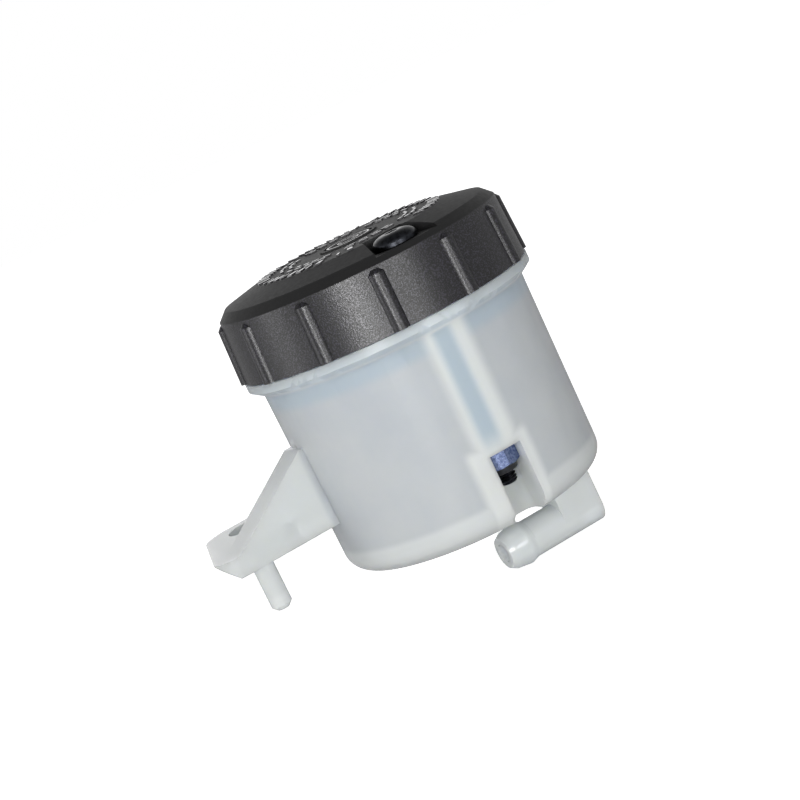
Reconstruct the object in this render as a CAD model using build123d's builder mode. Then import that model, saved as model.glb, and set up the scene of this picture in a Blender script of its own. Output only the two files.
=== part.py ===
from build123d import *
from math import atan2, cos, radians, sin
import os

# Brake fluid reservoir with a screw cap that a long lock screw secures.
# The origin is the bracket hole, at the top face of the bracket plate. +Z is up.

# Tank body below its rim, a light draft narrows it downwards
rim_r = 31.8             # the largest radius, the sizes below follow it
rim_overhang = 2.6
side_draft = 0.5
body_top_r = rim_r - rim_overhang
body_base_r = body_top_r - side_draft
corner_r = 4.5           # rounded bottom edge
wall = 2.0
cavity_r = body_base_r - wall
floor_t = 2.2
rim_under_z = 41.8       # where the bevel below the rim meets the body
lip_z = 43.6             # flat top of the bowl, where the filler top is welded on
lip_t = 1.8              # vertical rim face, the thickness of the filler top
deck_z = lip_z + lip_t

# Bracket beside the tank, measured from the tank axis
plate_reach = 27.0       # from the tank wall to the left edge of the plate
plate_left_x = body_top_r + plate_reach
arm_root_x = body_top_r + 0.6    # the arm leaves the tank moulding at this flat
plate_top_z = 17.0
plate_t = 4.2
plate_front_y = 2.1      # front face, in front of the tank axis
plate_back_y = body_top_r + 2.0
plate_shoulder_x = arm_root_x + 3.2
plate_root_x = 9.0       # the back edge slopes to this point beside the tank
plate_root_y = body_base_r - 2.2
plate_root_drop = 0.65
plate_taper = 9.0        # the left edge leans in towards the back
plate_corner_r = 7.0
plate_front_corner_r = 4.0
bevel_w = 4.0
bracket_hole_r = 5.5
gusset_w = 8.7
gusset_top_z = 30.0
gusset_end_x = plate_left_x - 5.9
peg_r = 2.25
peg_x = plate_left_x - 9.8
peg_tip_z = 3.0
peg_lead = 1.0

# Position of the tank, the bracket hole is the origin
hole_inset_x = 17.7      # from the left edge of the plate
hole_inset_y = 8.7       # from its back edge
tank_x = plate_left_x - hole_inset_x
tank_y = hole_inset_y - plate_back_y
base_z = -plate_top_z

# Cap
cap_gap = 0.1            # between the cap edge and the deck
cap_inset = 0.3          # the cap edge lies inside the rim
cap_lean = 0.6           # draft of the cap side over its height
cap_base_r = rim_r - cap_inset
cap_side_r = cap_base_r - cap_lean
cap_bevel_r = cap_side_r - 2.0
cap_inner_r = cap_side_r - 1.6
cap_recess_r = 15.0
neck_h = 9.2             # neck above the deck
seal_t = 1.4             # pressed rim of the diaphragm
ring_t = 1.0
cap_top_t = 5.5
neck_z = deck_z + neck_h
ring_z = neck_z + seal_t
cap_under_z = ring_z + ring_t
cap_crown_z = cap_under_z + cap_top_t
cap_bevel_z = cap_crown_z - 1.8
cap_side_z = cap_crown_z - 3.7
cap_recess_z = cap_crown_z - 3.3
grip_count = 12
grip_r = 1.9
grip_proud = 1.0
grip_top_gap = 0.5
grip_end_h = 0.9
grip_first_angle = -76.7
badge_r = 6.4
badge_ring_w = 0.9
relief_h = 0.35

# Lock screw line
screw_inset = 7.5        # from the cap side to the screw axis
screw_offset = cap_side_r - screw_inset
screw_r = 2.0
screw_hole_r = 2.1
head_r = 4.7
head_h = 2.6
socket_w = head_r * 0.54  # across the flats of the socket
socket_depth = 1.5
seat_z = cap_crown_z - 2.6   # screw head seat on the cap
screw_tip_z = 7.4
tip_chamfer = 0.5
notch_half_angle = 14.0
notch_inner_r = screw_offset - head_r - 0.7

# Threaded skirt of the cap, it clears the lock screw
skirt_r = screw_offset - screw_r - 0.4
skirt_t = 1.5
skirt_inner_r = skirt_r - skirt_t
skirt_z = deck_z + 1.9
cap_crown_r = skirt_r

# Filler neck
neck_gap = 0.9           # room for the thread between neck and skirt
neck_t = 2.2
neck_core_r = skirt_inner_r - neck_gap
neck_bore_r = neck_core_r - neck_t

# Slip ring and bellows diaphragm below the cap
ring_r = skirt_inner_r - 0.3
ring_bore_r = 5.0
bellows_rim_r = ring_r
bellows_z = neck_z
bellows_r = neck_bore_r - 0.6
bellows_inner_r = bellows_r - 4.4
bellows_t = 1.0
bellows_depth = 9.0
bellows_drop = 2.5       # middle disc below the seal face

# Column around the lock screw and block around the nut pocket
column_w = 8.6
block_w = 11.8
block_back = screw_offset - 6.4
block_top_z = 17.2
pocket_w = 7.2           # holds the flats of the nut
pocket_back = screw_offset - 4.2
pocket_corner_r = 2.5
mouth_w = 9.0            # the pocket flares to this at its bottom edge
mouth_h = 2.0
mouth_back = body_top_r - 2.9
nut_seat_z = 14.9

# Lock nut
nut_flats = 7.0
nut_hex_h = 3.8
nut_h = 5.0
nut_collar_r = 3.1
collar_edge = 0.6
insert_r = 2.6
insert_h = 1.1
insert_lip = 0.2         # metal left below the nylon ring
nut_bore_r = 2.05

# Outlet
spout_y = -8.0
spout_z = -8.4
spout_r = 4.1
spout_mouth_x = -1.9
spout_end_x = 21.1
spout_bore_r = 2.0
barb_r = 4.6
barb_at = 4.2            # barb crest behind the mouth
barb_land = 0.5
barb_back = 1.6
mouth_r = 3.4
mouth_lead = 1.3         # blunt start of the barb
mouth_lead_r = 4.15
duct_x = 16.5
duct_r = 2.4
duct_block_x = 11.8

os.makedirs("parts", exist_ok=True)

tank_base = Plane(origin=(tank_x, tank_y, base_z))
tank_side = Plane(origin=(tank_x, tank_y, base_z), x_dir=(1, 0, 0), z_dir=(0, -1, 0))
tank_axis = Axis((tank_x, tank_y, base_z), (0, 0, 1))
screw_base = Plane(origin=(tank_x, tank_y - screw_offset, base_z))
screw_side = Plane(origin=(tank_x, tank_y - screw_offset, base_z), x_dir=(1, 0, 0), z_dir=(0, -1, 0))
screw_axis = Axis((tank_x, tank_y - screw_offset, base_z), (0, 0, 1))
bracket_side = Plane(
    origin=(tank_x, tank_y - plate_front_y, base_z), x_dir=(1, 0, 0), z_dir=(0, -1, 0)
)
plate_lean = atan2(plate_taper, plate_back_y + plate_front_y)
bevel_side = Plane(
    origin=(tank_x - plate_left_x, tank_y - plate_front_y, base_z),
    x_dir=(cos(plate_lean), -sin(plate_lean), 0),
    z_dir=(-sin(plate_lean), -cos(plate_lean), 0),
)
peg_side = Plane(
    origin=(tank_x - peg_x, tank_y - plate_front_y + peg_r, base_z),
    x_dir=(1, 0, 0),
    z_dir=(0, -1, 0),
)
peg_axis = Axis((tank_x - peg_x, tank_y - plate_front_y + peg_r, base_z), (0, 0, 1))
spout_side = Plane(
    origin=(tank_x, tank_y + spout_y, base_z), x_dir=(1, 0, 0), z_dir=(0, -1, 0)
)
spout_axis = Axis((tank_x, tank_y + spout_y, base_z + spout_z), (1, 0, 0))

# Reservoir: the bowl with its screw column, nut pocket and the root of the bracket
plate_base_z = plate_top_z - plate_t
with BuildPart() as reservoir:
    with BuildSketch(tank_side):
        with BuildLine():
            Polyline((0, lip_z), (0, 0), (body_base_r - corner_r, 0))
            RadiusArc((body_base_r - corner_r, 0), (body_base_r, corner_r), -corner_r)
            Polyline(
                (body_base_r, corner_r),
                (body_top_r, rim_under_z),
                (rim_r, lip_z),
                (0, lip_z),
            )
        make_face()
    revolve(axis=tank_axis)
    # Root of the bracket plate, beside and behind the bowl
    with BuildSketch(tank_base.offset(plate_base_z)):
        with BuildLine():
            Polyline(
                (0, -plate_front_y),
                (-arm_root_x, -plate_front_y),
                (-arm_root_x, plate_back_y - plate_root_drop),
                (-plate_root_x, plate_root_y),
                close=True,
            )
        make_face()
    extrude(amount=plate_t)
    # Root of the gusset
    with BuildSketch(bracket_side):
        with BuildLine():
            Polyline(
                (-arm_root_x, plate_base_z),
                (-arm_root_x, gusset_top_z),
                (-body_base_r + wall, gusset_top_z),
                (-body_base_r + wall, plate_base_z),
                close=True,
            )
        make_face()
    extrude(amount=-gusset_w)
    # Tank space beside the nut pocket block
    with BuildSketch(tank_base.offset(floor_t)):
        Circle(cavity_r)
        with Locations((0, -(block_back + body_top_r) / 2)):
            Rectangle(block_w, body_top_r - block_back, mode=Mode.SUBTRACT)
    extrude(amount=block_top_z - floor_t, mode=Mode.SUBTRACT)
    # Tank space beside the screw column
    with BuildSketch(tank_base.offset(block_top_z)):
        Circle(cavity_r)
        with Locations((0, -screw_offset)):
            Circle(column_w / 2, mode=Mode.SUBTRACT)
        with Locations((0, -(screw_offset + body_top_r) / 2)):
            Rectangle(column_w, body_top_r - screw_offset, mode=Mode.SUBTRACT)
    extrude(amount=lip_z - block_top_z, mode=Mode.SUBTRACT)
    # Lock screw bore, nut pocket and the flare at the bottom of the pocket
    with BuildSketch(screw_base.offset(nut_seat_z)):
        Circle(screw_hole_r)
    extrude(amount=lip_z - nut_seat_z, mode=Mode.SUBTRACT)
    with BuildSketch(tank_base):
        with Locations((0, -(pocket_back + rim_r) / 2)):
            Rectangle(pocket_w, rim_r - pocket_back)
        back_corners = vertices().sort_by(Axis.Y)[-2:]
        fillet(back_corners, radius=pocket_corner_r)
    extrude(amount=nut_seat_z, mode=Mode.SUBTRACT)
    with BuildSketch(tank_side.offset(mouth_back)):
        with BuildLine():
            Polyline(
                (-mouth_w / 2, 0),
                (mouth_w / 2, 0),
                (pocket_w / 2, mouth_h),
                (-pocket_w / 2, mouth_h),
                close=True,
            )
        make_face()
    extrude(amount=rim_r - mouth_back, mode=Mode.SUBTRACT)
    # Way from the floor down into the outlet
    with BuildSketch(tank_base):
        with Locations((duct_x, spout_y)):
            Circle(duct_r)
    extrude(amount=floor_t, mode=Mode.SUBTRACT)
reservoir.part.label = "reservoir"
export_step(reservoir.part, "parts/reservoir.step")

# Filler top: the deck with the neck, welded on the bowl at the rim
with BuildPart() as filler_top:
    with BuildSketch(tank_base.offset(lip_z)):
        Circle(rim_r)
    extrude(amount=lip_t)
    with BuildSketch(tank_base.offset(deck_z)):
        Circle(neck_core_r)
    extrude(amount=neck_h)
    with BuildSketch(tank_base.offset(lip_z)):
        Circle(neck_bore_r)
    extrude(amount=lip_t + neck_h, mode=Mode.SUBTRACT)
    with BuildSketch(screw_base.offset(lip_z)):
        Circle(screw_hole_r)
    extrude(amount=lip_t, mode=Mode.SUBTRACT)
filler_top.part.label = "filler_top"
export_step(filler_top.part, "parts/filler_top.step")

# Bracket arm: plate, sloping gusset and locating peg, moulded on the bowl at a flat
with BuildPart() as bracket_arm:
    with BuildSketch(tank_base.offset(plate_base_z)):
        with BuildLine():
            Polyline(
                (-arm_root_x, -plate_front_y),
                (-plate_left_x, -plate_front_y),
                (-plate_left_x + plate_taper, plate_back_y),
                (-plate_shoulder_x, plate_back_y),
                (-arm_root_x, plate_back_y - plate_root_drop),
                close=True,
            )
        make_face()
        back_left = vertices().sort_by(Axis.X)[0:2].sort_by(Axis.Y)[1]
        fillet(back_left, radius=plate_corner_r)
        front_left = vertices().sort_by(Axis.X)[0:2].sort_by(Axis.Y)[0]
        fillet(front_left, radius=plate_front_corner_r)
    extrude(amount=plate_t)
    # Bevel below the left edge
    with BuildSketch(bevel_side):
        with BuildLine():
            Polyline(
                (-1, plate_base_z - 1),
                (bevel_w + 1, plate_base_z - 1),
                (-1, plate_base_z + bevel_w + 1),
                close=True,
            )
        make_face()
    extrude(amount=2 * plate_back_y, both=True, mode=Mode.SUBTRACT)
    # Sloping gusset up to the tank wall
    with BuildSketch(bracket_side):
        with BuildLine():
            Polyline(
                (-gusset_end_x, plate_top_z - plate_t / 2),
                (-gusset_end_x, plate_top_z),
                (-arm_root_x, gusset_top_z),
                (-arm_root_x, plate_top_z - plate_t / 2),
                close=True,
            )
        make_face()
    extrude(amount=-gusset_w)
    # Locating peg below the plate
    with BuildSketch(peg_side):
        with BuildLine():
            Polyline(
                (0, peg_tip_z),
                (0, plate_top_z - 1),
                (peg_r, plate_top_z - 1),
                (peg_r, peg_tip_z + peg_lead),
                (peg_r - peg_lead, peg_tip_z),
                close=True,
            )
        make_face()
    revolve(axis=peg_axis)
    with BuildSketch(Plane.XY.offset(-plate_t)):
        Circle(bracket_hole_r)
    extrude(amount=plate_t, mode=Mode.SUBTRACT)
bracket_arm.part.label = "bracket_arm"
export_step(bracket_arm.part, "parts/bracket_arm.step")

# Outlet: barbed spout and the block whose duct rises to the tank floor
with BuildPart() as outlet:
    with BuildSketch(spout_side):
        with BuildLine():
            Polyline(
                (spout_mouth_x, spout_z),
                (spout_mouth_x, spout_z + mouth_r),
                (spout_mouth_x + mouth_lead, spout_z + mouth_lead_r),
                (spout_mouth_x + barb_at, spout_z + barb_r),
                (spout_mouth_x + barb_at + barb_land, spout_z + barb_r),
                (spout_mouth_x + barb_at + barb_land + barb_back, spout_z + spout_r),
                (spout_end_x, spout_z + spout_r),
                (spout_end_x, spout_z),
                close=True,
            )
        make_face()
    revolve(axis=spout_axis)
    with BuildSketch(tank_base.offset(spout_z)):
        with Locations(((duct_block_x + spout_end_x) / 2, spout_y)):
            Rectangle(spout_end_x - duct_block_x, 2 * spout_r)
    extrude(amount=-spout_z)
    with BuildSketch(tank_base.offset(spout_z)):
        with Locations((duct_x, spout_y)):
            Circle(duct_r)
    extrude(amount=-spout_z, mode=Mode.SUBTRACT)
    with BuildSketch(spout_side):
        with Locations(((spout_mouth_x + duct_x) / 2, spout_z + spout_bore_r / 2)):
            Rectangle(duct_x - spout_mouth_x, spout_bore_r)
    revolve(axis=spout_axis, mode=Mode.SUBTRACT)
outlet.part.label = "outlet"
export_step(outlet.part, "parts/outlet.step")

# Screw cap with grip ribs, a threaded inner skirt and the notch for the screw head
cap_edge_z = deck_z + cap_gap
cap_draft = (cap_base_r - cap_side_r) / (cap_side_z - cap_edge_z)
grip_center_r = cap_base_r + grip_proud - grip_r
grip_length = cap_side_z - grip_top_gap - grip_end_h - cap_edge_z
with BuildPart() as screw_cap:
    with BuildSketch(tank_side):
        with BuildLine():
            Polyline(
                (0, cap_edge_z),
                (cap_base_r, cap_edge_z),
                (cap_side_r, cap_side_z),
                (cap_bevel_r, cap_bevel_z),
                (cap_crown_r, cap_crown_z),
                (0, cap_crown_z),
                close=True,
            )
        make_face()
    revolve(axis=tank_axis)
    # Grip ribs, each follows the draft of the side and tapers at its top end
    for grip in range(grip_count):
        angle = radians(grip_first_angle + grip * 360 / grip_count)
        grip_foot = Plane(
            origin=(
                tank_x + grip_center_r * cos(angle),
                tank_y + grip_center_r * sin(angle),
                base_z + cap_edge_z,
            ),
            z_dir=(-cap_draft * cos(angle), -cap_draft * sin(angle), 1),
        )
        with BuildSketch(grip_foot.offset(-grip_r * cap_draft)):
            Circle(grip_r)
        extrude(amount=grip_length)
        with Locations(grip_foot.offset(grip_length - grip_r * cap_draft)):
            Cone(grip_r, grip_r * 0.6, grip_end_h, align=(Align.CENTER, Align.CENTER, Align.MIN))
    with BuildSketch(tank_base.offset(cap_edge_z)):
        Circle(cap_base_r + 2 * grip_proud)
    extrude(amount=-grip_r, mode=Mode.SUBTRACT)
    # Space below the top, with the threaded skirt left standing
    with BuildSketch(tank_base.offset(cap_edge_z)):
        Circle(cap_inner_r)
        Circle(skirt_r, mode=Mode.SUBTRACT)
    extrude(amount=cap_under_z - cap_edge_z, mode=Mode.SUBTRACT)
    with BuildSketch(tank_base.offset(cap_edge_z)):
        Circle(skirt_r)
    extrude(amount=skirt_z - cap_edge_z, mode=Mode.SUBTRACT)
    with BuildSketch(tank_base.offset(cap_edge_z)):
        Circle(skirt_inner_r)
    extrude(amount=cap_under_z - cap_edge_z, mode=Mode.SUBTRACT)
    with BuildSketch(tank_base.offset(cap_under_z)):
        Circle(cap_recess_r)
    extrude(amount=cap_recess_z - cap_under_z, mode=Mode.SUBTRACT)
    # Notch for the head of the lock screw
    notch_x = (cap_base_r + 2) * sin(radians(notch_half_angle))
    notch_y = (cap_base_r + 2) * cos(radians(notch_half_angle))
    with BuildSketch(tank_base.offset(seat_z)):
        with BuildLine():
            Polyline((0, 0), (-notch_x, -notch_y), (notch_x, -notch_y), close=True)
        make_face()
        Circle(notch_inner_r, mode=Mode.SUBTRACT)
    extrude(amount=cap_crown_z - seat_z + 1, mode=Mode.SUBTRACT)
    with BuildSketch(screw_base.offset(cap_under_z)):
        Circle(screw_hole_r)
    extrude(amount=seat_z - cap_under_z, mode=Mode.SUBTRACT)
    # Plain raised badge ring in the middle of the top
    with BuildSketch(tank_base.offset(cap_crown_z)):
        Circle(badge_r)
        Circle(badge_r - badge_ring_w, mode=Mode.SUBTRACT)
    extrude(amount=relief_h)
screw_cap.part.label = "screw_cap"
export_step(screw_cap.part, "parts/screw_cap.step")

# Slip ring that lets the cap turn on the diaphragm
with BuildPart() as slip_ring:
    with BuildSketch(tank_base.offset(ring_z)):
        Circle(ring_r)
        Circle(ring_bore_r, mode=Mode.SUBTRACT)
    extrude(amount=cap_under_z - ring_z)
slip_ring.part.label = "slip_ring"
export_step(slip_ring.part, "parts/slip_ring.step")

# Rubber bellows diaphragm, its rim is the seal on the neck
bellows_foot_z = bellows_z - bellows_depth
bellows_disc_z = bellows_z - bellows_drop
with BuildPart() as diaphragm:
    with BuildSketch(tank_side):
        with BuildLine():
            Polyline(
                (0, bellows_disc_z),
                (bellows_inner_r, bellows_disc_z),
                (bellows_inner_r, bellows_foot_z),
                (bellows_r, bellows_foot_z),
                (bellows_r, bellows_z),
                (bellows_rim_r, bellows_z),
                (bellows_rim_r, ring_z),
                (bellows_r - bellows_t, ring_z),
                (bellows_r - bellows_t, bellows_foot_z + bellows_t),
                (bellows_inner_r + bellows_t, bellows_foot_z + bellows_t),
                (bellows_inner_r + bellows_t, bellows_disc_z + bellows_t),
                (0, bellows_disc_z + bellows_t),
                close=True,
            )
        make_face()
    revolve(axis=tank_axis)
diaphragm.part.label = "diaphragm"
export_step(diaphragm.part, "parts/diaphragm.step")

# Lock screw with a domed socket head
with BuildPart() as lock_screw:
    with BuildSketch(screw_side):
        with BuildLine():
            Polyline(
                (0, screw_tip_z),
                (screw_r - tip_chamfer, screw_tip_z),
                (screw_r, screw_tip_z + tip_chamfer),
                (screw_r, seat_z),
                (head_r, seat_z),
                (head_r, seat_z + head_h * 0.3),
            )
            ThreePointArc(
                (head_r, seat_z + head_h * 0.3),
                (head_r * 0.72, seat_z + head_h * 0.82),
                (head_r * 0.3, seat_z + head_h),
            )
            Polyline(
                (head_r * 0.3, seat_z + head_h),
                (0, seat_z + head_h),
                (0, screw_tip_z),
            )
        make_face()
    revolve(axis=screw_axis)
    with BuildSketch(screw_base.offset(seat_z + head_h)):
        RegularPolygon(socket_w / 2, 6, major_radius=False)
    extrude(amount=-socket_depth, mode=Mode.SUBTRACT)
lock_screw.part.label = "lock_screw"
export_step(lock_screw.part, "parts/lock_screw.step")

# Lock nut with the room for its nylon ring
nut_collar_z = nut_seat_z - nut_h
with BuildPart() as lock_nut:
    with BuildSketch(screw_base.offset(nut_seat_z - nut_hex_h)):
        RegularPolygon(nut_flats / 2, 6, major_radius=False, rotation=30)
    extrude(amount=nut_hex_h)
    with BuildSketch(screw_base.offset(nut_collar_z)):
        Circle(nut_collar_r)
    extrude(amount=nut_h - nut_hex_h)
    chamfer(edges().filter_by(GeomType.CIRCLE).sort_by(Axis.Z)[0], length=collar_edge)
    with BuildSketch(screw_base.offset(nut_collar_z)):
        Circle(nut_bore_r)
    extrude(amount=nut_h, mode=Mode.SUBTRACT)
    with BuildSketch(screw_base.offset(nut_collar_z + insert_lip)):
        Circle(insert_r)
    extrude(amount=insert_h, mode=Mode.SUBTRACT)
lock_nut.part.label = "lock_nut"
export_step(lock_nut.part, "parts/lock_nut.step")

# Nylon ring in the lock nut
with BuildPart() as nut_insert:
    with BuildSketch(screw_base.offset(nut_collar_z + insert_lip)):
        Circle(insert_r)
        Circle(nut_bore_r, mode=Mode.SUBTRACT)
    extrude(amount=insert_h)
nut_insert.part.label = "nut_insert"
export_step(nut_insert.part, "parts/nut_insert.step")
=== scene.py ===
"""Studio picture of a brake fluid reservoir with a screw cap and a long lock screw."""

import logging
import math
from collections.abc import Callable, Sequence
from dataclasses import dataclass, field
from enum import Enum
from typing import Any

import bmesh
import bpy
from mathutils import Matrix, Vector


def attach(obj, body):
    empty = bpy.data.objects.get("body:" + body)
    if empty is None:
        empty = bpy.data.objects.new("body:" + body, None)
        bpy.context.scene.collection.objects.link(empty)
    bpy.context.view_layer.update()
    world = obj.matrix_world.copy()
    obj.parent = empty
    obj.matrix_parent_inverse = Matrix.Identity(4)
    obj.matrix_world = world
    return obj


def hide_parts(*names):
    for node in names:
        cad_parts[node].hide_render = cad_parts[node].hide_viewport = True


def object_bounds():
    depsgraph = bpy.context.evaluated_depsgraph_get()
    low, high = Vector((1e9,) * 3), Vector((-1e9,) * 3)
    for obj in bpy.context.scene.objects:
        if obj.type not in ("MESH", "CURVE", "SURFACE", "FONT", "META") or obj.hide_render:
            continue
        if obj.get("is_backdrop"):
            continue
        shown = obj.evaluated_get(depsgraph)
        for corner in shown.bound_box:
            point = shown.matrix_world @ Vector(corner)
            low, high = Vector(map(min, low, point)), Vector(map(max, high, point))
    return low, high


LOG = logging.getLogger("reservoir")
MM = 0.001
TANK_FOOT = Vector((38.5, -22.5, -17.0))  # tank axis at its underside, mm from the bracket hole
SCREW_OFFSET = 23.4                       # screw axis in front of the tank axis, mm
TANK_MIDDLE = TANK_FOOT + Vector((0.0, 0.0, 35.0))  # what the lamps aim at
NYLON_IOR = 1.53

Row = Callable[[float], tuple[float, float]]
Span = tuple[float, float]
Socket = bpy.types.NodeSocket


class Body(Enum):
    """The moving groups that a piece can ride on."""

    TANK = "tank"
    CAP = "cap"
    SCREW = "screw"


def linear(colour: str) -> tuple[float, float, float, float]:
    """Turns an sRGB hex colour into linear light.

    Args:
        colour: Six hex digits after a hash.

    Returns:
        Red, green, blue and alpha for a colour socket.
    """
    values = [int(colour[i:i + 2], 16) / 255 for i in (1, 3, 5)]
    light = [v / 12.92 if v <= 0.04045 else ((v + 0.055) / 1.055) ** 2.4 for v in values]
    return light[0], light[1], light[2], 1.0


def add_node(
    tree: bpy.types.NodeTree,
    kind: str,
    settings: dict[str | int, Any] | None = None,
    links: dict[str | int, Socket] | None = None,
) -> bpy.types.Node:
    """Adds a node with its settings and incoming links.

    Args:
        tree: The node tree that gets the node.
        kind: Blender's name of the node type.
        settings: Attributes of the node by name, or socket values by name or number.
        links: Output sockets by the name or number of the input that they feed.

    Returns:
        The new node.
    """
    node = tree.nodes.new(kind)
    for name, value in (settings or {}).items():
        if isinstance(name, str) and hasattr(node, name):
            setattr(node, name, value)
        else:
            node.inputs[name].default_value = value
    for name, source in (links or {}).items():
        tree.links.new(source, node.inputs[name])
    return node


def fresh_material(name: str) -> tuple[bpy.types.Material, bpy.types.NodeTree]:
    """Makes an empty node material.

    Args:
        name: The material's name.

    Returns:
        The material and its cleared node tree.
    """
    material = bpy.data.materials.new(name)
    material.use_nodes = True
    material.node_tree.nodes.clear()
    return material, material.node_tree


def grain(tree: bpy.types.NodeTree, size: float, detail: float = 2.0) -> Socket:
    """Adds a noise pattern whose features are about size millimetres across.

    Args:
        tree: The material's node tree.
        size: Size of one grain in mm.
        detail: Octaves of finer noise.

    Returns:
        The noise factor, 0 to 1.
    """
    place = add_node(tree, "ShaderNodeTexCoord")
    noise = add_node(
        tree,
        "ShaderNodeTexNoise",
        {"Scale": 1 / (size * MM), "Detail": detail, "Roughness": 0.55},
        {"Vector": place.outputs["Object"]},
    )
    return noise.outputs[0]


def blend_colours(tree: bpy.types.NodeTree, factor: Socket, low: str, high: str,
                  start: float = 0.35, end: float = 0.65) -> Socket:
    """Runs a pattern through a two-colour ramp.

    Args:
        tree: The material's node tree.
        factor: The pattern.
        low: Hex colour below start.
        high: Hex colour above end.
        start: Pattern value where the change begins.
        end: Pattern value where it ends.

    Returns:
        The colour.
    """
    ramp = add_node(tree, "ShaderNodeValToRGB", links={"Fac": factor})
    ramp.color_ramp.elements[0].position = start
    ramp.color_ramp.elements[0].color = linear(low)
    ramp.color_ramp.elements[1].position = end
    ramp.color_ramp.elements[1].color = linear(high)
    return ramp.outputs["Color"]


def add_shades(
    tree: bpy.types.NodeTree, colour: Socket, shades: Sequence[tuple[Socket, str]]
) -> Socket:
    """Lays plain colours over a colour, one after the other.

    Args:
        tree: The material's node tree.
        colour: The colour below.
        shades: A mask for each plain colour, and its hex value.

    Returns:
        The colour on top.
    """
    for mask, shade in shades:
        colour = add_node(
            tree,
            "ShaderNodeMix",
            {"data_type": "RGBA", 7: linear(shade)},
            {0: mask, 6: colour},
        ).outputs[2]
    return colour


def spread(tree: bpy.types.NodeTree, factor: Socket, low: float, high: float) -> Socket:
    """Maps a pattern of 0.3 to 0.7 onto low to high.

    Args:
        tree: The material's node tree.
        factor: The pattern.
        low: Value at 0.3.
        high: Value at 0.7.

    Returns:
        The mapped value.
    """
    node = add_node(
        tree,
        "ShaderNodeMapRange",
        {"From Min": 0.3, "From Max": 0.7, "To Min": low, "To Max": high},
        {"Value": factor},
    )
    return node.outputs["Result"]


def relief(tree: bpy.types.NodeTree, height: Socket, depth: float) -> Socket:
    """Turns a pattern into a bump.

    Args:
        tree: The material's node tree.
        height: The pattern.
        depth: Height of the bump in mm.

    Returns:
        The normal for a shader.
    """
    node = add_node(
        tree, "ShaderNodeBump", {"Strength": 1.0, "Distance": depth * MM}, {"Height": height}
    )
    return node.outputs["Normal"]


@dataclass(frozen=True)
class SoftEdge:
    """An edge in a finish that fades over a short way, in mm.

    Attributes:
        at: The length where the mask is one half.
        fade: How far the change reaches on each side.
        above: The mask is 1 above the edge, or else below it.
    """

    at: float
    fade: float
    above: bool = False

    def mask(self, tree: bpy.types.NodeTree, length: Socket) -> Socket:
        """Marks one side of the edge.

        Args:
            tree: The material's node tree.
            length: The length to compare, in metres.

        Returns:
            The mask, 1 on the marked side and 0 on the other.
        """
        ends = ((self.at - self.fade) * MM, (self.at + self.fade) * MM)
        start, end = ends if self.above else reversed(ends)
        node = add_node(
            tree,
            "ShaderNodeMapRange",
            {"interpolation_type": "SMOOTHSTEP", "From Min": start, "From Max": end},
            {"Value": length},
        )
        return node.outputs["Result"]


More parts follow.
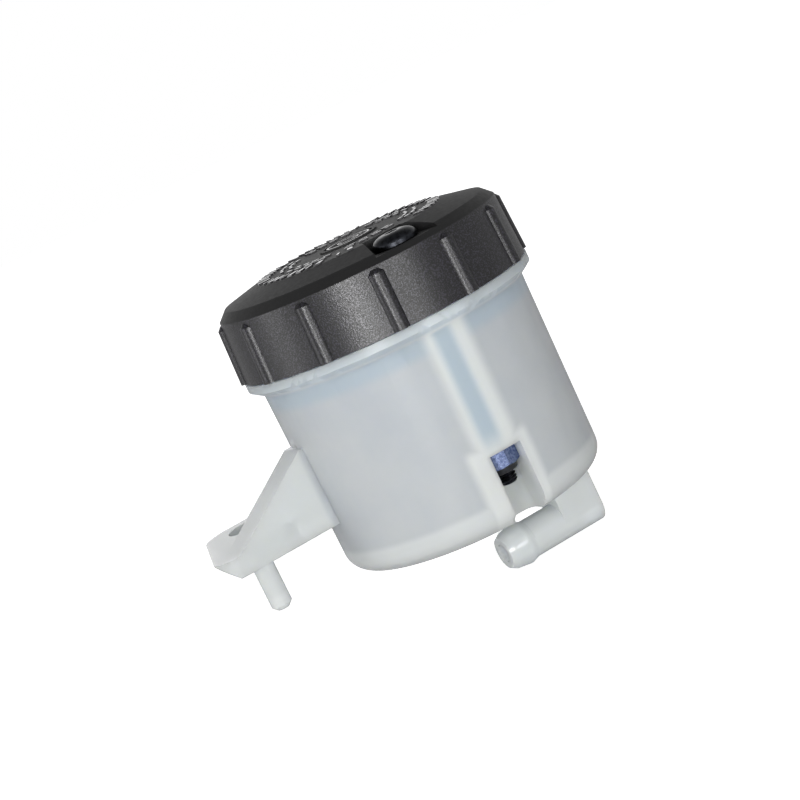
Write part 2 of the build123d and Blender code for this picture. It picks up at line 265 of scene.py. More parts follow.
@dataclass(frozen=True)
class NaturalNylon:
    """Natural nylon 6, injection moulded: milky, lets shapes behind it show as soft ghosts.

    Thick places scatter more light and look whiter than the 2 mm walls. The shade of the
    cap on the lip and neck, of the weld flange on a band below the rim and of the lock
    screw seen through the front wall is painted into the colour. Sizes are in mm
    from the tank's foot, apart from the scatter length.
    """

    colour: str = "#DCE0E3"
    cloud: str = "#D5DADF"
    thick: str = "#ECF1F1"
    # Painted shade of the cap on the lip and the neck
    lip: str = "#DCE8F4"
    arm: str = "#E4E8E8"
    # Painted shade of the weld flange and the cap on a band below the rim
    shade: str = "#CAD6E0"
    # Painted shade where the lock screw shows through the front wall
    shank_shade: str = "#C4D2DC"
    cloud_size: float = 14.0
    peel_size: float = 1.2
    peel_depth: float = 0.003
    roughness: float = 0.22
    bore_roughness: float = 0.05
    transmission: float = 0.38
    transmission_thick: float = 0.26
    scatter_colour: tuple[float, float, float] = (1.0, 1.0, 1.1)
    scatter_length: float = 0.004  # metres
    column_x: float = -1.0         # the wall shows the column 1 mm to the left of its place
    column_side: SoftEdge = SoftEdge(4.65, 1.5)
    block_side: SoftEdge = SoftEdge(6.9, 1.1)
    block_top: SoftEdge = SoftEdge(17.2, 1.2)
    front: SoftEdge = SoftEdge(-15.0, 2.0)
    floor_top: SoftEdge = SoftEdge(6.0, 0.8)
    floor_share: float = 0.6       # the floor's edge is this far towards the thick colour
    lip_foot: SoftEdge = SoftEdge(42.4, 0.6, above=True)
    bore_side: SoftEdge = SoftEdge(2.4, 0.1)
    wall_side: SoftEdge = SoftEdge(30.4, 0.6, above=True)
    arm_top: SoftEdge = SoftEdge(41.4, 1.0)
    band_foot: SoftEdge = SoftEdge(38.5, 1.3, above=True)
    band_top: SoftEdge = SoftEdge(41.9, 0.5)
    shank_x: float = -1.7          # and the painted shade of the lock screw 1.7 mm
    shank_side: SoftEdge = SoftEdge(2.0, 1.2)
    shank_foot: SoftEdge = SoftEdge(17.2, 3.0, above=True)

    def overlap(self, tree: bpy.types.NodeTree, *masks: Socket) -> Socket:
        """Finds where several masks are all 1.

        Args:
            tree: The material's node tree.
            masks: The masks.

        Returns:
            The mask that they share.
        """
        shared = masks[0]
        for mask in masks[1:]:
            shared = add_node(
                tree, "ShaderNodeMath", {"operation": "MULTIPLY"}, {0: shared, 1: mask}
            ).outputs[0]
        return shared

    def beside(self, tree: bpy.types.NodeTree, across: Socket, middle: float) -> Socket:
        """Gives the distance from an upright plane, to the left or the right.

        Args:
            tree: The material's node tree.
            across: Place across the tank in metres.
            middle: Place of the plane in mm.

        Returns:
            The distance in metres.
        """
        off = add_node(
            tree, "ShaderNodeMath", {"operation": "SUBTRACT", 1: middle * MM}, {0: across}
        )
        away = add_node(tree, "ShaderNodeMath", {"operation": "ABSOLUTE"}, {0: off.outputs[0]})
        return away.outputs[0]

    def reach(self, tree: bpy.types.NodeTree, point: Socket) -> Socket:
        """Gives the distance of a point from the upright axis through its origin.

        Args:
            tree: The material's node tree.
            point: The point in metres.

        Returns:
            The distance in metres.
        """
        flat = add_node(
            tree,
            "ShaderNodeVectorMath",
            {"operation": "MULTIPLY", 1: (1.0, 1.0, 0.0)},
            {0: point},
        )
        length = add_node(
            tree, "ShaderNodeVectorMath", {"operation": "LENGTH"}, {0: flat.outputs[0]}
        )
        return length.outputs["Value"]

    def masks(self, tree: bpy.types.NodeTree) -> dict[str, Socket]:
        """Finds the places where the wall is thicker, thinner or shaded from inside.

        Args:
            tree: The material's node tree.

        Returns:
            The masks by name: thick, 1 on the column, the block and partly on the edge of
            the floor; lip, a painted shade of the cap on the lip and neck; bore, the bore of
            the lock screw; arm, outside the round wall; band, a painted shade of the weld
            flange and the cap; and shank, a painted shade where the lock screw shows through
            the wall.
        """
        place = add_node(tree, "ShaderNodeTexCoord")
        from_foot = add_node(
            tree,
            "ShaderNodeVectorMath",
            {"operation": "SUBTRACT", 1: TANK_FOOT * MM},
            {0: place.outputs["Object"]},
        ).outputs[0]
        from_screw = add_node(
            tree,
            "ShaderNodeVectorMath",
            {"operation": "SUBTRACT", 1: Vector((0.0, -SCREW_OFFSET, 0.0)) * MM},
            {0: from_foot},
        ).outputs[0]
        x, y, z = add_node(tree, "ShaderNodeSeparateXYZ", links={"Vector": from_foot}).outputs
        front = self.front.mask(tree, y)
        band_top = self.band_top.mask(tree, z)
        from_column = self.beside(tree, x, self.column_x)
        block = self.overlap(
            tree, self.block_side.mask(tree, from_column), self.block_top.mask(tree, z)
        )
        column = add_node(
            tree,
            "ShaderNodeMath",
            {"operation": "MAXIMUM"},
            {0: self.column_side.mask(tree, from_column), 1: block},
        )
        floor = add_node(
            tree,
            "ShaderNodeMath",
            {"operation": "MULTIPLY", 1: self.floor_share},
            {0: self.floor_top.mask(tree, z)},
        )
        thick = add_node(
            tree,
            "ShaderNodeMath",
            {"operation": "MAXIMUM"},
            {0: self.overlap(tree, column.outputs[0], front), 1: floor.outputs[0]},
        )
        outside = self.wall_side.mask(tree, self.reach(tree, from_foot))
        shank_shade = self.shank_side.mask(tree, self.beside(tree, x, self.shank_x))
        return {
            "thick": thick.outputs[0],
            "lip": self.lip_foot.mask(tree, z),
            "bore": self.bore_side.mask(tree, self.reach(tree, from_screw)),
            "arm": self.overlap(tree, outside, self.arm_top.mask(tree, z)),
            "band": self.overlap(tree, self.band_foot.mask(tree, z), band_top),
            "shank_shade": self.overlap(tree, shank_shade, self.shank_foot.mask(tree, z), front, band_top),
        }

    def make(self) -> bpy.types.Material:
        """Builds the material.

        Returns:
            The material.
        """
        material, tree = fresh_material("natural_nylon_moulded")
        masks = self.masks(tree)
        # Slow flow clouds of the melt
        clouds = grain(tree, self.cloud_size, 3.0)
        # Polished mould surface with a faint orange peel
        peel = grain(tree, self.peel_size, 1.0)
        # The band, the lip and the wall in front of the lock screw carry painted shade
        colour = add_shades(
            tree,
            blend_colours(tree, clouds, self.cloud, self.colour),
            (
                (masks["band"], self.shade),
                (masks["thick"], self.thick),
                (masks["lip"], self.lip),
                (masks["arm"], self.arm),
                (masks["shank_shade"], self.shank_shade),
            ),
        )
        # The bore is as smooth and clear as its core pin leaves it
        smooth = add_node(
            tree,
            "ShaderNodeMapRange",
            {"To Min": self.roughness, "To Max": self.bore_roughness},
            {"Value": masks["bore"]},
        )
        milky = add_node(
            tree,
            "ShaderNodeMapRange",
            {"To Min": self.transmission, "To Max": self.transmission_thick},
            {"Value": masks["thick"]},
        )
        clear = add_node(
            tree,
            "ShaderNodeMath",
            {"operation": "MAXIMUM"},
            {0: milky.outputs["Result"], 1: masks["bore"]},
        )
        shader = add_node(
            tree,
            "ShaderNodeBsdfPrincipled",
            {
                "IOR": NYLON_IOR,
                "Subsurface Weight": 1.0,
                "Subsurface Radius": self.scatter_colour,
                "Subsurface Scale": self.scatter_length,
            },
            {
                "Base Color": colour,
                "Roughness": smooth.outputs["Result"],
                "Transmission Weight": clear.outputs[0],
                "Normal": relief(tree, peel, self.peel_depth),
            },
        )
        add_node(tree, "ShaderNodeOutputMaterial", links={"Surface": shader.outputs[0]})
        return material


@dataclass(frozen=True)
class GrainedNylon:
    """Black glass-filled nylon: spark-eroded side with grey glints, smoother top, painted shade on
    the shoulder.

    Heights are in mm above the tank's foot.
    """

    dark: str = "#070708"
    glint: str = "#2D2B34"
    # Painted shade: the shoulder is darker than the side and the top
    shoulder: str = "#0C0C0D"
    top: str = "#19191A"
    glint_span: Span = (0.5, 0.66)  # part of the pits' pattern where they turn grey
    shoulder_height: float = 58.8   # the side ends here
    top_height: float = 60.6        # and the shoulder here
    fade: float = 0.15              # on each side of these two edges
    pit_size: float = 0.28
    pit_depth: float = 0.028
    smoothing: float = 0.8          # the pits lose this share of their depth above the side
    fine_size: float = 0.9
    side_roughness: Span = (0.4, 0.3)
    top_roughness: Span = (0.55, 0.65)
    specular: float = 0.48

    def above(self, tree: bpy.types.NodeTree, height: Socket, level: float) -> Socket:
        """Gives 1 above a level.

        Args:
            tree: The material's node tree.
            height: Height in metres in the part's frame.
            level: Height in mm above the tank's foot.

        Returns:
            The mask.
        """
        edge = level + TANK_FOOT.z
        return add_node(
            tree,
            "ShaderNodeMapRange",
            {"From Min": (edge - self.fade) * MM, "From Max": (edge + self.fade) * MM},
            {"Value": height},
        ).outputs["Result"]

    def make(self) -> bpy.types.Material:
        """Builds the material.

        Returns:
            The material.
        """
        material, tree = fresh_material("black_nylon_grained")
        place = add_node(tree, "ShaderNodeTexCoord")
        height = add_node(
            tree, "ShaderNodeSeparateXYZ", links={"Vector": place.outputs["Object"]}
        )
        on_shoulder = self.above(tree, height.outputs["Z"], self.shoulder_height)
        on_top = self.above(tree, height.outputs["Z"], self.top_height)
        # Spark erosion pits are 0.1 mm, drawn 0.28 mm wide so that they show
        pits = grain(tree, self.pit_size, 0.0)
        fine = grain(tree, self.fine_size, 3.0)
        # The shoulder's darker colour is painted shade
        colour = add_shades(
            tree,
            blend_colours(tree, pits, self.dark, self.glint, *self.glint_span),
            ((on_shoulder, self.shoulder), (on_top, self.top)),
        )
        roughness = add_node(
            tree,
            "ShaderNodeMix",
            {"data_type": "FLOAT"},
            {
                0: on_shoulder,
                2: spread(tree, pits, *self.side_roughness),
                3: spread(tree, fine, *self.top_roughness),
            },
        )
        lower = add_node(
            tree, "ShaderNodeMath", {"operation": "MULTIPLY", 1: -self.smoothing}, {0: on_shoulder}
        )
        bump = add_node(
            tree,
            "ShaderNodeMath",
            {"operation": "MULTIPLY_ADD"},
            {0: pits, 1: lower.outputs[0], 2: pits},
        )
        shader = add_node(
            tree,
            "ShaderNodeBsdfPrincipled",
            {"IOR": NYLON_IOR, "Specular IOR Level": self.specular},
            {
                "Base Color": colour,
                "Roughness": roughness.outputs[0],
                "Normal": relief(tree, bump.outputs[0], self.pit_depth),
            },
        )
        add_node(tree, "ShaderNodeOutputMaterial", links={"Surface": shader.outputs[0]})
        return material


@dataclass(frozen=True)
class PlainFinish:
    """A moulded polymer or plated steel with fine grain and a little colour change.

    Attributes:
        name: The material's name.
        low: Hex colour in the grain's hollows.
        high: Hex colour on its heights.
        roughness: Roughness in the hollows and on the heights.
        grain_size: Size of one grain in mm.
        depth: Depth of the grain in mm.
        metallic: 1 for a metal.
        ior: Index of refraction.
        detail: Octaves of finer grain.
    """

    name: str
    low: str
    high: str
    roughness: Span
    grain_size: float
    depth: float
    metallic: float = 0.0
    ior: float = 1.5
    detail: float = 3.0

    def make(self) -> bpy.types.Material:
        """Builds the material.

        Returns:
            The material.
        """
        material, tree = fresh_material(self.name)
        pattern = grain(tree, self.grain_size, self.detail)
        shader = add_node(
            tree,
            "ShaderNodeBsdfPrincipled",
            {"Metallic": self.metallic, "IOR": self.ior},
            {
                "Base Color": blend_colours(tree, pattern, self.low, self.high),
                "Roughness": spread(tree, pattern, *self.roughness),
                "Normal": relief(tree, pattern, self.depth),
            },
        )
        add_node(tree, "ShaderNodeOutputMaterial", links={"Surface": shader.outputs[0]})
        return material


# Black nylon where the mould was polished: the raised marks glint, partly from the low roughness
# and partly from a painted highlight, the lighter grey colour
POLISHED_NYLON = PlainFinish(
    "black_nylon_polished", "#343335", "#4C4B4E", (0.1, 0.24), 0.6, 0.02,
    ior=NYLON_IOR, detail=2.0,
)
# Acetal, machined smooth: waxy off-white
ACETAL = PlainFinish("acetal_smooth", "#D8D7D0", "#E2E1DB", (0.3, 0.4), 3.0, 0.01, ior=1.48)
# EPDM rubber, moulded: dull black with a faint bloom
RUBBER = PlainFinish("rubber_moulded", "#1B1B1C", "#2A2A2B", (0.6, 0.75), 1.6, 0.03, ior=1.52)
# Steel, black zinc plated: near black metal with soft highlights
BLACK_ZINC = PlainFinish("steel_black_zinc", "#232427", "#33353A", (0.26, 0.38), 0.8, 0.008, 1.0)
# Steel, blue passivated zinc: bright metal with a blue cast
BLUE_ZINC = PlainFinish("steel_blue_zinc", "#5E6B93", "#8C99BC", (0.18, 0.26), 0.5, 0.003, 1.0)
# Nylon 6, moulded and dyed: near black with a soft gloss, the locking ring of the nut
RING_NYLON = PlainFinish(
    "nylon_dyed", "#0E0F12", "#1C1E24", (0.3, 0.4), 0.8, 0.01, ior=NYLON_IOR
)


def ring(radius: float, z: float) -> Row:
    """Gives a round row of points at a radius and height in mm."""
    return lambda angle: (radius, z)


def hexagon(flats: float, z: float, turn: float = 0.0, chamfer_r: float = 0.0,
            slope: float = 0.0) -> Row:
    """Gives a six-sided row of points.

    Args:
        flats: Width across the flats in mm.
        z: Height in mm.
        turn: Angle of one corner in degrees.
        chamfer_r: Radius where a chamfer cone leaves the face.
        slope: Rise per mm outside that radius, negative at the top face.

    Returns:
        The row.
    """
    def row(angle: float) -> tuple[float, float]:
        """Gives radius and height at an angle in radians."""
        off = (angle - math.radians(turn + 30)) % math.radians(60)
        radius = flats / 2 / math.cos(off - math.radians(60) * (off > math.radians(30)))
        return radius, z + slope * max(0.0, radius - chamfer_r)
    return row


@dataclass
class Shape:
    """Points and faces of one mesh, in mm around an axis of the tank.

    Attributes:
        axis: Place of the axis from the tank axis in mm.
        points: The points from the tank's foot.
        faces: Indices of the points round each face.
    """

    axis: tuple[float, float] = (0.0, 0.0)
    points: list[tuple[float, float, float]] = field(default_factory=list)
    faces: list[tuple[int, ...]] = field(default_factory=list)

    def skin(self, rows: Sequence[Row], steps: int = 72, closed: bool = False) -> None:
        """Adds a skin over rows of points round the axis.

        Args:
            rows: The rows, in order along the profile.
            steps: Points round the axis.
            closed: The last row joins the first; otherwise both end rows get a cap.
        """
        first = len(self.points)
        for row in rows:
            for step in range(steps):
                angle = 2 * math.pi * step / steps
                radius, z = row(angle)
                self.points.append((
                    self.axis[0] + radius * math.cos(angle),
                    self.axis[1] + radius * math.sin(angle),
                    z,
                ))
        count = len(rows)
        for k in range(count if closed else count - 1):
            low, high = first + k * steps, first + (k + 1) % count * steps
            for step in range(steps):
                after = (step + 1) % steps
                self.faces.append((low + step, low + after, high + after, high + step))
        if not closed:
            last = first + (count - 1) * steps
            self.faces.append(tuple(first + s for s in reversed(range(steps))))
            self.faces.append(tuple(last + s for s in range(steps)))

    def sweep(self, sections: Sequence[Sequence[tuple[float, float, float]]]) -> None:
        """Adds a closed body through sections of equal point count.

        Args:
            sections: The sections, each a loop of points.
        """
        first, size = len(self.points), len(sections[0])
        for section in sections:
            self.points.extend(section)
        for k in range(len(sections) - 1):
            low, high = first + k * size, first + (k + 1) * size
            for i in range(size):
                after = (i + 1) % size
                self.faces.append((low + i, low + after, high + after, high + i))
        last = first + (len(sections) - 1) * size
        self.faces.append(tuple(first + i for i in reversed(range(size))))
        self.faces.append(tuple(last + i for i in range(size)))

    def build(self, name: str, material: bpy.types.Material, body: Body, slot: str,
              crease: float = 32.0) -> bpy.types.Object:
        """Makes the object, smooth except at creases, and lets it ride on its body.

        Args:
            name: Name of the piece.
            material: Its finish.
            body: The body that it rides on.
            slot: Not used.
            crease: Edges that bend more than this many degrees stay sharp.

        Returns:
            The object.
        """
        mesh = bpy.data.meshes.new(name)
        mesh.from_pydata(
            [tuple((Vector(p) + TANK_FOOT) * MM) for p in self.points], [], self.faces
        )
        mesh.validate()
        mesh.update()
        mesh.shade_smooth()
        mesh.set_sharp_from_angle(angle=math.radians(crease))
        piece = bpy.data.objects.new(name, mesh)
        bpy.context.collection.objects.link(piece)
        piece.data.materials.append(material)
        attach(piece, body.value)
        LOG.info("%s: %d faces on %s", name, len(mesh.polygons), body.value)
        return piece


def dress(node: str, material: bpy.types.Material) -> None:
    """Gives a CAD node its finish.

    Args:
        node: Name of the node.
        material: The finish for all its faces.
    """
    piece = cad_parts[node]
    for place in piece.material_slots:
        place.material = material
    if not piece.material_slots:
        piece.data.materials.append(material)
    LOG.info("%s: dressed in %s", node, material.name)


@dataclass
class Tank:
    """The translucent moulding: tank, neck, bracket and spout, with the thread of its neck.

    Sizes are in mm from the tank's foot, angles in degrees.
    """

    nodes: tuple[str, ...] = ("reservoir", "filler_top", "bracket_arm", "outlet")
    core_r: float = 18.5
    crest_r: float = 19.4
    pitch: float = 3.0
    thread_foot: float = 47.6
    turns: float = 1.6
    foot_w: float = 1.9
    crest_w: float = 0.8
    steps: int = 120
    full_after: float = 1 / 12   # share of the thread's run over which an end grows to full height
    weld: float = 0.01           # points closer than this are one
    flat: float = 0.5            # edges that bend less than this are dissolved
    crease: float = 24.0         # edges that bend more than this stay sharp

    def thread(self) -> Shape:
        """Sweeps the rounded ridge of the neck thread, thinning out at both ends.

        Returns:
            The ridge.
        """
        shape = Shape()
        sections = []
        for k in range(self.steps + 1):
            share = k / self.steps
            angle = 2 * math.pi * self.turns * share
            z = self.thread_foot + self.foot_w / 2 + self.pitch * self.turns * share
            rise = min(1.0, min(share, 1 - share) / self.full_after)
            crest = self.core_r + (self.crest_r - self.core_r) * rise
            loop = []
            for radius, dz in (
                (self.core_r, -self.foot_w / 2),
                (crest, -self.crest_w / 2),
                (crest, self.crest_w / 2),
                (self.core_r, self.foot_w / 2),
            ):
                loop.append((radius * math.cos(angle), radius * math.sin(angle), z + dz))
            sections.append(loop)
        shape.sweep(sections)
        return shape

    def moulding(self) -> bpy.types.Object:
        """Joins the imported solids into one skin, as they are moulded and welded.

        Returns:
            The joined object.
        """
        pieces = []
        for node in self.nodes:
            piece = bpy.data.objects.new("part_" + node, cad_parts[node].data.copy())
            bpy.context.collection.objects.link(piece)
            pieces.append(piece)
        for other in pieces[1:]:
            union = pieces[0].modifiers.new("union", "BOOLEAN")
            union.operation, union.solver, union.object = "UNION", "EXACT", other
        graph = bpy.context.evaluated_depsgraph_get()
        mesh = bpy.data.meshes.new_from_object(pieces[0].evaluated_get(graph))
        for piece in pieces:
            bpy.data.objects.remove(piece)
        skin = bmesh.new()
        skin.from_mesh(mesh)
        bmesh.ops.remove_doubles(skin, verts=skin.verts, dist=self.weld * MM)
        bmesh.ops.dissolve_limit(
            skin, angle_limit=math.radians(self.flat), verts=skin.verts, edges=skin.edges
        )
        skin.to_mesh(mesh)
        skin.free()
        mesh.materials.clear()
        mesh.shade_smooth()
        mesh.set_sharp_from_angle(angle=math.radians(self.crease))
        mesh.name = "tank_moulding"
        joined = bpy.data.objects.new("tank_moulding", mesh)
        bpy.context.collection.objects.link(joined)
        even = joined.modifiers.new("even_normals", "WEIGHTED_NORMAL")
        even.keep_sharp = True
        return joined

    def build(self) -> None:
        """Builds and dresses the moulding and adds the thread."""
        material = NaturalNylon().make()
        moulding = self.moulding()
        moulding.data.materials.append(material)
        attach(moulding, Body.TANK.value)
        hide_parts(*self.nodes)
        LOG.info("tank_moulding: %d faces", len(moulding.data.polygons))
        self.thread().build("neck_thread", material, Body.TANK, "tank_plastic")


@dataclass(frozen=True)
class BarRing:
    """A ring of raised bars on the cap, with gaps.

    Attributes:
        radius: Inner and outer radius in mm.
        places: Number of places round the ring.
        start: Angle of the first bar in degrees.
        widths: Widths of the bars in degrees, in turn.
        gap_every: One place in this many is empty.
        meets_notch: The notch cuts through the ring.
    """

    radius: Span
    places: int
    start: float
    widths: tuple[float, ...]
    gap_every: int
    meets_notch: bool = False

    def bars(self) -> list[Span]:
        """Lists the first and last angle of each bar.

        Returns:
            The angles in degrees.
        """
        spans = []
        for k in range(self.places):
            if k % self.gap_every != self.gap_every - 1:
                start = self.start + k * 360 / self.places
                spans.append((start, start + self.widths[k % len(self.widths)]))
        return spans


@dataclass
class CapMarks:
    """Raised marks on the cap's top, generic bars and rings that catch the light.

    Sizes are in mm from the tank's foot, angles in degrees.
    """

    face: float = 62.5
    height: float = 0.32
    draft: float = 0.08
    sunk: float = 0.05            # the marks start this far below the cap's face
    notch_angle: float = 17.0
    arc: float = 4.0              # a bar bends about once in this angle
    bar_rings: tuple[BarRing, ...] = (
        BarRing((17.8, 20.6), 54, 0.0, (1.6, 3.4, 3.4), 9, meets_notch=True),
        BarRing((14.6, 15.4), 30, 4.0, (8.0,), 5),
        BarRing((12.6, 13.4), 30, 6.0, (8.0,), 5),
    )
    badge_rings: tuple[Span, ...] = ((4.3, 4.9), (2.0, 2.5))

    def profile(self, radius: Span) -> list[Span]:
        """Gives the section of a mark.

        Args:
            radius: Inner and outer radius of its foot.

        Returns:
            Radius and height of its four corners.
        """
        foot, top = self.face - self.sunk, self.face + self.height
        inner, outer = radius
        return [(inner, foot), (inner + self.draft, top), (outer - self.draft, top), (outer, foot)]

    def bar(self, shape: Shape, radius: Span, angle: Span) -> None:
        """Adds one raised bar that follows a ring.

        Args:
            shape: The shape that gets the bar.
            radius: Inner and outer radius.
            angle: First and last angle.
        """
        steps = max(1, round((angle[1] - angle[0]) / self.arc))
        sections = []
        for k in range(steps + 1):
            turn = math.radians(angle[0] + (angle[1] - angle[0]) * k / steps)
            sections.append([
                (r * math.cos(turn), r * math.sin(turn), z) for r, z in self.profile(radius)
            ])
        shape.sweep(sections)

    def clear(self, angle: Span) -> bool:
        """Tells whether a span of degrees stays clear of the notch at the front.

        Args:
            angle: First and last angle.

        Returns:
            True where no part of it is in the notch.
        """
        middle = (angle[0] + angle[1]) / 2 % 360
        return abs(middle - 270) > self.notch_angle + (angle[1] - angle[0]) / 2

    def build(self) -> None:
        """Builds the rings of bars and the rings of the middle badge."""
        shape = Shape()
        for bar_ring in self.bar_rings:
            for angle in bar_ring.bars():
                if not bar_ring.meets_notch or self.clear(angle):
                    self.bar(shape, bar_ring.radius, angle)
        for radius in self.badge_rings:
            shape.skin([ring(r, z) for r, z in self.profile(radius)], closed=True)
        shape.build("cap_marks", POLISHED_NYLON.make(), Body.CAP, "cap_plastic")


@dataclass
class ScrewCap:
    """The black cap with its marks, the slip ring and the diaphragm below it."""

    marks: CapMarks = field(default_factory=CapMarks)

    def build(self) -> None:
        """Dresses the cap and its seal and adds the marks."""
        dress("screw_cap", GrainedNylon().make())
        dress("slip_ring", ACETAL.make())
        dress("diaphragm", RUBBER.make())
        self.marks.build()


@dataclass
class LockScrew:
    """The long lock screw: domed head with a hexagon socket, threaded end.

    Sizes are in mm from the tank's foot, angles in degrees.
    """

    tip: float = 7.4
    tip_r: float = 0.4
    tip_edge: float = 0.2
    shank_r: float = 1.98
    root_r: float = 1.62
    pitch: float = 0.7
    lead_low: float = 0.15     # the first turn starts this far inside the root
    lead_rise: float = 0.6     # and grows by this over one pitch
    thread_top: float = 27.4
    run_out: float = 0.4
    rows_per_turn: int = 6
    seat: float = 59.92        # 0.02 above the cap, so that the two faces never share a plane
    head_r: float = 4.7
    head_h: float = 2.6
    head_side: float = 0.75    # height of the head's straight side
    head_edge: float = 0.15
    crown_r: float = 1.75      # the dome ends here
    dome: Span = (4.0, 78.0)
    dome_rows: int = 9
    socket: float = 2.54
    socket_depth: float = 1.5
    socket_chamfer: float = 0.2
    rim_depths: tuple[float, float, float] = (0.01, 0.02, 0.14)  # crown, chamfer and its foot
    drill_r: float = 0.3
    drill_depth: float = 0.35
    turn_points: int = 48

    def thread_row(self, z: float) -> Row:
        """Gives one row of the thread.

        Args:
            z: Height of the row in mm.

        Returns:
            The row.
        """
        def row(angle: float) -> tuple[float, float]:
            """Gives radius and height at an angle in radians."""
            share = ((z - self.tip) / self.pitch - angle / (2 * math.pi)) % 1
            depth = abs(2 * share - 1)
            start = min(1.0, (z - self.tip) / self.pitch)
            radius = self.shank_r - (self.shank_r - self.root_r) * depth
            return min(radius, self.root_r - self.lead_low + self.lead_rise * start), z
        return row

    def head(self) -> list[Row]:
        """Gives the rows of the head, from its seat to the floor of the socket.

        Returns:
            The rows.
        """
        side_top = self.seat + self.head_side
        rows = [
            ring(self.head_r - self.head_edge, self.seat),
            ring(self.head_r, self.seat + self.head_edge),
            ring(self.head_r, side_top),
        ]
        first, last = self.dome
        for k in range(self.dome_rows):
            turn = math.radians(first + (last - first) * k / (self.dome_rows - 1))
            rows.append(ring(
                self.crown_r + (self.head_r - self.crown_r) * math.cos(turn),
                side_top + (self.head_h - self.head_side) * math.sin(turn),
            ))
        top = self.seat + self.head_h
        crown, rim, socket_top = (top - depth for depth in self.rim_depths)
        floor = top - self.socket_depth
        rows.append(ring(self.crown_r, crown))
        rows.append(hexagon(self.socket + self.socket_chamfer, rim))
        rows.append(hexagon(self.socket, socket_top))
        rows.append(hexagon(self.socket, floor))
        rows.append(ring(self.drill_r, floor - self.drill_depth))
        return rows

    def build(self) -> None:
        """Builds the screw in one skin, from its tip to the floor of the socket."""
        rows = [ring(self.tip_r, self.tip), ring(self.root_r - self.tip_edge, self.tip)]
        count = int((self.thread_top - self.tip) / self.pitch * self.rows_per_turn)
        for k in range(count + 1):
            rows.append(self.thread_row(self.tip + self.pitch * k / self.rows_per_turn))
        rows.append(ring(self.shank_r, self.thread_top + self.run_out))
        rows.append(ring(self.shank_r, self.seat))
        rows.extend(self.head())
        shape = Shape(axis=(0.0, -SCREW_OFFSET))
        shape.skin(rows, self.turn_points)
        piece = shape.build("lock_screw_threaded", BLACK_ZINC.make(), Body.SCREW, "black_steel")
        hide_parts("lock_screw")


@dataclass
class LockNut:
    """The lock nut: chamfered hexagon with a round collar over its nylon ring.

    Sizes are in mm from the tank's foot, angles in degrees.
    """

    top: float = 14.9
    flats: float = 7.0
    corner: float = 30.0
    hex_h: float = 3.8
    height: float = 5.0
    collar_r: float = 3.1
    collar_edge: float = 0.1
    bore_r: float = 2.05
    bore_chamfer: float = 0.3
    lip: float = 0.2             # the collar's foot ends this far outside the bore
    insert_r: float = 2.62
    insert_z: Span = (0.19, 1.31)  # groove of the nylon ring above the collar's foot
    chamfer_r: float = 3.35
    slope: float = 0.577
    # Rolled foot of the collar, inwards from its radius and upwards from its foot
    roll: tuple[Span, ...] = ((0.0, 0.5), (0.15, 0.2), (0.45, 0.0))

    def build(self) -> None:
        """Builds the nut and dresses the nylon ring in it."""
        low = self.top - self.hex_h
        foot = self.top - self.height
        groove_low, groove_top = foot + self.insert_z[0], foot + self.insert_z[1]
        rows = [
            ring(self.bore_r + self.bore_chamfer, self.top),
            ring(self.chamfer_r, self.top),
            hexagon(self.flats, self.top, self.corner, self.chamfer_r, -self.slope),
            hexagon(self.flats, low, self.corner, self.chamfer_r, self.slope),
            ring(self.collar_r + self.collar_edge, low),
            ring(self.collar_r, low - self.collar_edge),
            *(ring(self.collar_r - inwards, foot + up) for inwards, up in self.roll),
            ring(self.bore_r + self.lip, foot),
            ring(self.bore_r + self.lip, groove_low),
            ring(self.insert_r, groove_low),
            ring(self.insert_r, groove_top),
            ring(self.bore_r, groove_top),
            ring(self.bore_r, self.top - self.bore_chamfer),
        ]
        shape = Shape(axis=(0.0, -SCREW_OFFSET))
        shape.skin(rows, closed=True)
        piece = shape.build("lock_nut_chamfered", BLUE_ZINC.make(), Body.TANK, "zinc_steel")
        nylon = RING_NYLON.make()
        # The metal collar below the hexagon takes the near-black nylon finish, so that it looks
        # dark
        piece.data.materials.append(nylon)
        collar_top = (TANK_FOOT.z + low) * MM
        for face in piece.data.polygons:
            face.material_index = int(face.center.z < collar_top)
        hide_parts("lock_nut")
        dress("nut_insert", nylon)


@dataclass(frozen=True)
class Lamp:
    """A soft square lamp that faces the middle of the tank.

    Attributes:
        name: The lamp's name.
        place: Where it hangs, in metres.
        size: Its width in metres.
        power: Its power in watts.
    """

    name: str
    place: tuple[float, float, float]
    size: float
    power: float

    def hang(self) -> None:
        """Adds the lamp to the scene."""
        data = bpy.data.lights.new(self.name, "AREA")
        data.shape = "SQUARE"
        data.size = self.size
        data.energy = self.power
        lamp = bpy.data.objects.new(self.name, data)
        lamp.location = self.place
        lamp.rotation_mode = "QUATERNION"
        lamp.rotation_quaternion = (TANK_MIDDLE * MM - lamp.location).to_track_quat("-Z", "Y")
        bpy.context.collection.objects.link(lamp)


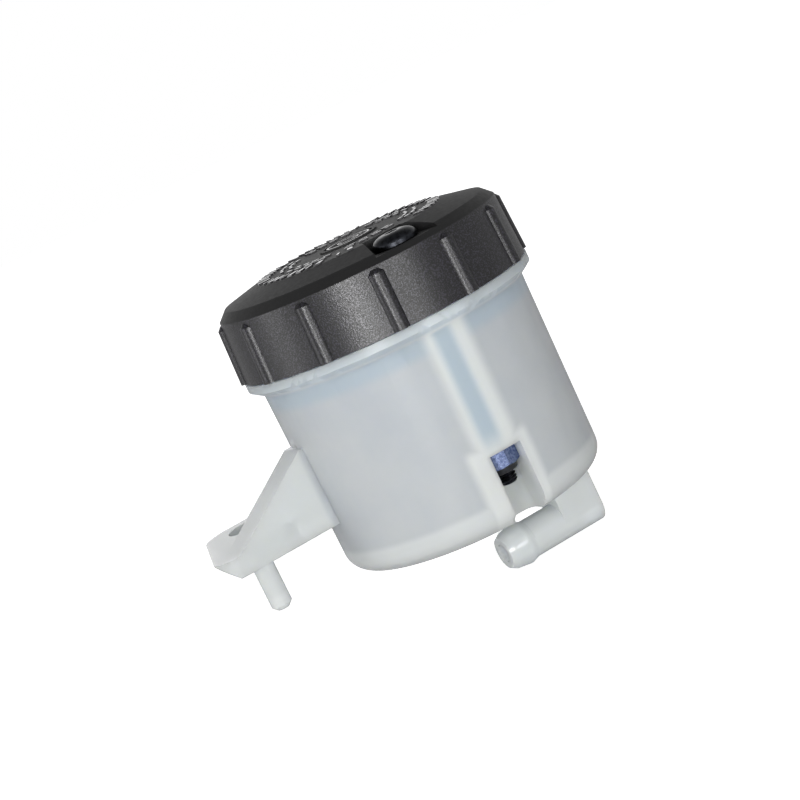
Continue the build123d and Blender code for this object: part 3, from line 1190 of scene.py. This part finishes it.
@dataclass
class Studio:
    """Camera, lamps, pale floor and white surroundings."""

    camera_at: tuple[float, float, float] = (-129.17, -470.91, 87.29)  # mm
    right: tuple[float, float, float] = (0.9409, -0.3378, 0.0225)
    up: tuple[float, float, float] = (0.0320, 0.1550, 0.9874)
    roll: float = 27.0                # degrees
    lens: float = 105.95
    floor_z: float = -30.2            # mm
    floor_r: float = 3.0              # metres
    floor_points: int = 72
    paper: tuple[str, str] = ("#EFEFEF", "#F3F3F3")
    fibre_size: float = 1.5           # mm
    lift: float = 0.8                 # glow of the paper round the object
    fade: Span = (0.1, 0.45)          # distance over which it turns white, metres
    ambient: float = 0.76             # strength of the room's light
    mirrored: float = 0.84            # and of its reflections
    ceiling: float = 0.33             # share of both that the ceiling gives
    ceiling_span: Span = (0.15, 0.7)  # upward slope over which the wall turns into it
    lamps: tuple[Lamp, ...] = (
        Lamp("key", (-0.42, -0.69, 0.02), 0.26, 4.4),
        Lamp("fill", (0.06, -0.82, 0.02), 0.3, 2.3),
        Lamp("side", (-0.85, 0.15, 0.1), 0.4, 1.8),
        Lamp("back", (0.25, 0.9, 0.26), 0.4, 0.28),
    )

    def camera(self) -> None:
        """Places the camera at the photograph's angle; the object leans in its picture."""
        turn = math.radians(self.roll)
        right, up = Vector(self.right), Vector(self.up)
        side = (math.cos(turn) * right - math.sin(turn) * up).normalized()
        top = (math.sin(turn) * right + math.cos(turn) * up)
        top = (top - top.dot(side) * side).normalized()
        back = side.cross(top)
        data = bpy.data.cameras.new("camera")
        data.lens = self.lens
        data.sensor_width = 36.0
        data.clip_start, data.clip_end = 0.01, 20.0
        camera = bpy.data.objects.new("camera", data)
        camera.matrix_world = Matrix.Translation(Vector(self.camera_at) * MM) @ Matrix(
            (side, top, back)
        ).transposed().to_4x4()
        bpy.context.collection.objects.link(camera)
        bpy.context.scene.camera = camera

    def surroundings(self) -> None:
        """Makes the world: white where it is seen, a soft room with a darker ceiling elsewhere."""
        world = bpy.data.worlds.new("studio_white")
        bpy.context.scene.world = world
        world.use_nodes = True
        tree = world.node_tree
        tree.nodes.clear()
        path = add_node(tree, "ShaderNodeLightPath")
        seen = add_node(
            tree,
            "ShaderNodeMath",
            {"operation": "MAXIMUM"},
            {0: path.outputs["Is Camera Ray"], 1: path.outputs["Is Transmission Ray"]},
        )
        place = add_node(tree, "ShaderNodeTexCoord")
        parts = add_node(
            tree, "ShaderNodeSeparateXYZ", links={"Vector": place.outputs["Generated"]}
        )
        low, high = self.ceiling_span
        ceiling = add_node(
            tree,
            "ShaderNodeMapRange",
            {"From Min": low, "From Max": high, "To Min": 1.0, "To Max": self.ceiling},
            {"Value": parts.outputs["Z"]},
        )
        mirrored = add_node(
            tree,
            "ShaderNodeMapRange",
            {"To Min": self.ambient, "To Max": self.mirrored},
            {"Value": path.outputs["Is Glossy Ray"]},
        )
        room = add_node(
            tree,
            "ShaderNodeMath",
            {"operation": "MULTIPLY"},
            {0: ceiling.outputs["Result"], 1: mirrored.outputs["Result"]},
        )
        strength = add_node(
            tree,
            "ShaderNodeMath",
            {"operation": "MAXIMUM"},
            {0: seen.outputs[0], 1: room.outputs[0]},
        )
        light = add_node(
            tree,
            "ShaderNodeBackground",
            {"Color": linear("#FFFFFF")},
            {"Strength": strength.outputs[0]},
        )
        add_node(tree, "ShaderNodeOutputWorld", links={"Surface": light.outputs[0]})

    def floor(self) -> None:
        """Lays the pale floor, which keeps the shadow and fades into the white."""
        material, tree = fresh_material("paper_backdrop")
        path = add_node(tree, "ShaderNodeLightPath")
        place = add_node(tree, "ShaderNodeTexCoord")
        reach = add_node(
            tree,
            "ShaderNodeVectorMath",
            {"operation": "LENGTH"},
            {0: place.outputs["Object"]},
        )
        # The paper fades into the white surroundings away from the object
        near, far = self.fade
        lift_by_reach = add_node(
            tree,
            "ShaderNodeMapRange",
            {"From Min": near, "From Max": far, "To Min": self.lift, "To Max": 1.0},
            {"Value": reach.outputs["Value"]},
        )
        glow = add_node(
            tree,
            "ShaderNodeMath",
            {"operation": "MULTIPLY"},
            {0: path.outputs["Is Camera Ray"], 1: lift_by_reach.outputs["Result"]},
        )
        fibre = grain(tree, self.fibre_size, 3.0)
        paper = add_node(
            tree,
            "ShaderNodeBsdfDiffuse",
            links={"Color": blend_colours(tree, fibre, *self.paper)},
        )
        lift = add_node(tree, "ShaderNodeEmission", links={"Strength": glow.outputs[0]})
        both = add_node(
            tree, "ShaderNodeAddShader", links={0: paper.outputs[0], 1: lift.outputs[0]}
        )
        add_node(tree, "ShaderNodeOutputMaterial", links={"Surface": both.outputs[0]})
        mesh = bpy.data.meshes.new("floor")
        points = []
        for k in range(self.floor_points):
            turn = 2 * math.pi * k / self.floor_points
            points.append((
                self.floor_r * math.cos(turn), self.floor_r * math.sin(turn), self.floor_z * MM
            ))
        mesh.from_pydata(points, [], [tuple(range(len(points)))])
        mesh.materials.append(material)
        floor = bpy.data.objects.new("floor", mesh)
        bpy.context.collection.objects.link(floor)
        floor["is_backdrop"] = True

    def build(self) -> None:
        """Sets up the camera, the light and the stage."""
        self.camera()
        self.surroundings()
        self.floor()
        for lamp in self.lamps:
            lamp.hang()


def main() -> tuple[Vector, Vector]:
    """Builds the studio and the parts in order.

    Returns:
        The CAD model's lowest and highest corner.
    """
    logging.basicConfig(level=logging.INFO, format="%(name)s %(message)s")
    cad_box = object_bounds()
    view = bpy.context.scene.view_settings
    view.view_transform = "Standard"
    for part in (Studio(), Tank(), ScrewCap(), LockScrew(), LockNut()):
        part.build()
        LOG.info("%s is built", type(part).__name__)
    return cad_box


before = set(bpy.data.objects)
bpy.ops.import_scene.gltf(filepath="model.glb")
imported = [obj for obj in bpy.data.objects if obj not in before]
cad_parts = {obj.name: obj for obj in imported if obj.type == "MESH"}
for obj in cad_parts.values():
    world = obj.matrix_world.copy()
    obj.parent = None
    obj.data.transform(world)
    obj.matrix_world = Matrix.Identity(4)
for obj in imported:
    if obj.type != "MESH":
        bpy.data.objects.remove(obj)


if __name__ == "__main__":
    CAD_BOX = main()
